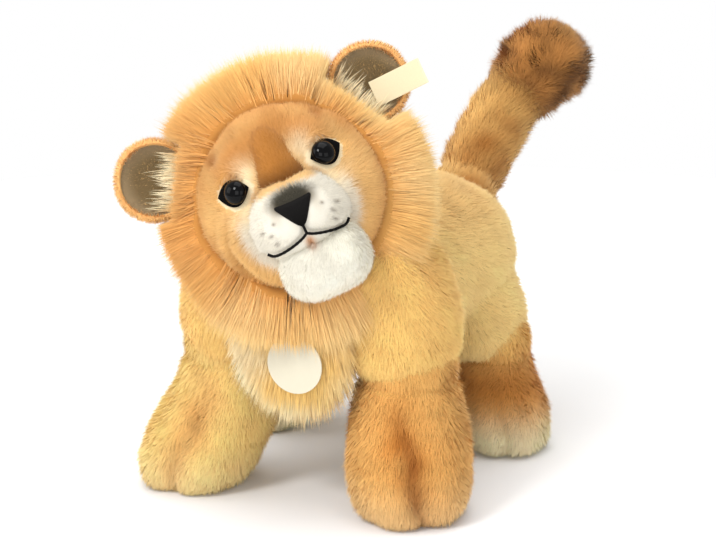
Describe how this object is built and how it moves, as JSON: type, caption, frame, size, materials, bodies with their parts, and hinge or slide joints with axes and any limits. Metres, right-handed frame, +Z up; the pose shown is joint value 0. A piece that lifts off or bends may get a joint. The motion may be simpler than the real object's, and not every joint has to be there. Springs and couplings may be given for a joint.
{
  "type": "stuffed lion toy",
  "caption": "Stuffed toy lion standing on four wide paws, with a turned head in a round mane, cupped ears, an upright tufted tail and a round paper tag.",
  "frame": {"origin": "under the middle of the whole lion, on the surface that its soles stand on", "axes": "+Z up; the lion looks along -Y; its own left side is +X"},
  "size_m": [0.158, 0.2784, 0.205],
  "materials": {
    "fabric_pale": "short pale tan plush",
    "fabric_gold": "short golden plush",
    "fabric_orange": "short orange-gold plush",
    "fabric_mane": "long golden plush",
    "fabric_brown": "long brown plush",
    "fabric_white": "short white plush",
    "fabric_taupe": "short taupe plush",
    "filling": "loose polyester fibre",
    "ribbon": "woven ribbon, blank",
    "paper": "matte coated paper, blank",
    "black_plastic": "polished",
    "black_thread": "waxed embroidery thread and felt",
    "clear_plastic": "milky"
  },
  "bodies": {
    "trunk": {"body_panel_left": "fabric_pale", "body_panel_right": "fabric_pale", "belly_panel": "fabric_pale", "body_stuffing": "filling", "front_left_shoulder_skin": "fabric_gold", "front_left_shoulder_stuffing": "filling", "front_right_shoulder_skin": "fabric_gold", "front_right_shoulder_stuffing": "filling", "chest_ruff": "fabric_mane", "tag_loop": "black_thread"},
    "neck": {"neck_stuffing": "filling"},
    "head": {"face_skin": "fabric_gold", "head_back_skin": "fabric_mane", "head_stuffing": "filling", "mane": "fabric_mane", "muzzle": "fabric_white", "chin": "fabric_white", "nose_bridge": "fabric_orange", "nose": "black_thread", "mouth_thread": "black_thread", "eye_left": "black_plastic", "eye_right": "black_plastic", "eye_washer_left": "clear_plastic", "eye_washer_right": "clear_plastic", "eye_backing_left": "black_thread", "eye_backing_right": "black_thread"},
    "ear_left": {"ear_back_left": "fabric_orange", "ear_lining_left": "fabric_taupe", "ear_label": "ribbon"},
    "ear_right": {"ear_back_right": "fabric_orange", "ear_lining_right": "fabric_taupe"},
    "front_left_leg": {"front_left_leg_skin": "fabric_orange", "front_left_leg_stuffing": "filling"},
    "front_right_leg": {"front_right_leg_skin": "fabric_orange", "front_right_leg_stuffing": "filling"},
    "hind_left_leg": {"hind_left_leg_skin": "fabric_orange", "hind_left_leg_stuffing": "filling"},
    "hind_right_leg": {"hind_right_leg_skin": "fabric_orange", "hind_right_leg_stuffing": "filling"},
    "tail": {"tail_skin": "fabric_gold", "tail_stuffing": "filling", "tail_tuft": "fabric_brown"},
    "tag": {"hang_tag": "paper"}
  },
  "joints": [
    {"name": "head_turn", "type": "hinge", "parent": "trunk", "child": "neck", "pos_m": [0.00142, -0.08583, 0.141], "axis": [0, 0.6947, -0.7193], "range_deg": [-25, 25], "stiffness_Nm_per_rad": 0.8},
    {"name": "head_nod", "type": "hinge", "parent": "neck", "child": "head", "pos_m": [0.00142, -0.08583, 0.141], "axis": [1, 0, 0], "range_deg": [-12, 12], "stiffness_Nm_per_rad": 1.5},
    {"name": "ear_fold_left", "type": "hinge", "parent": "head", "child": "ear_left", "pos_m": [0.02029, -0.06354, 0.17889], "axis": [-0.8147, -0.2214, 0.5359], "range_deg": [-12, 12], "stiffness_Nm_per_rad": 0.02},
    {"name": "ear_fold_right", "type": "hinge", "parent": "head", "child": "ear_right", "pos_m": [-0.04303, -0.10274, 0.14619], "axis": [0.0035, 0.285, 0.9585], "range_deg": [-12, 12], "stiffness_Nm_per_rad": 0.02},
    {"name": "front_left_leg_flex", "type": "hinge", "parent": "trunk", "child": "front_left_leg", "pos_m": [0.05042, -0.07183, 0.069], "axis": [1, 0, 0], "range_deg": [-20, 20], "stiffness_Nm_per_rad": 0.8},
    {"name": "front_right_leg_flex", "type": "hinge", "parent": "trunk", "child": "front_right_leg", "pos_m": [-0.03558, -0.07183, 0.069], "axis": [1, 0, 0], "range_deg": [-20, 20], "stiffness_Nm_per_rad": 0.8},
    {"name": "hind_left_leg_flex", "type": "hinge", "parent": "trunk", "child": "hind_left_leg", "pos_m": [0.05142, 0.03017, 0.051], "axis": [1, 0, 0], "range_deg": [-20, 20], "stiffness_Nm_per_rad": 0.8},
    {"name": "hind_right_leg_flex", "type": "hinge", "parent": "trunk", "child": "hind_right_leg", "pos_m": [-0.04458, 0.02217, 0.051], "axis": [1, 0, 0], "range_deg": [-20, 20], "stiffness_Nm_per_rad": 0.8},
    {"name": "tail_flex", "type": "hinge", "parent": "trunk", "child": "tail", "pos_m": [0.01342, 0.07217, 0.107], "axis": [1, 0, 0], "range_deg": [-20, 20], "stiffness_Nm_per_rad": 0.4},
    {"name": "tag_swing", "type": "hinge", "parent": "trunk", "child": "tag", "pos_m": [0.01342, -0.10863, 0.083], "axis": [-1, 0, 0], "range_deg": [0, 35]}
  ]
}
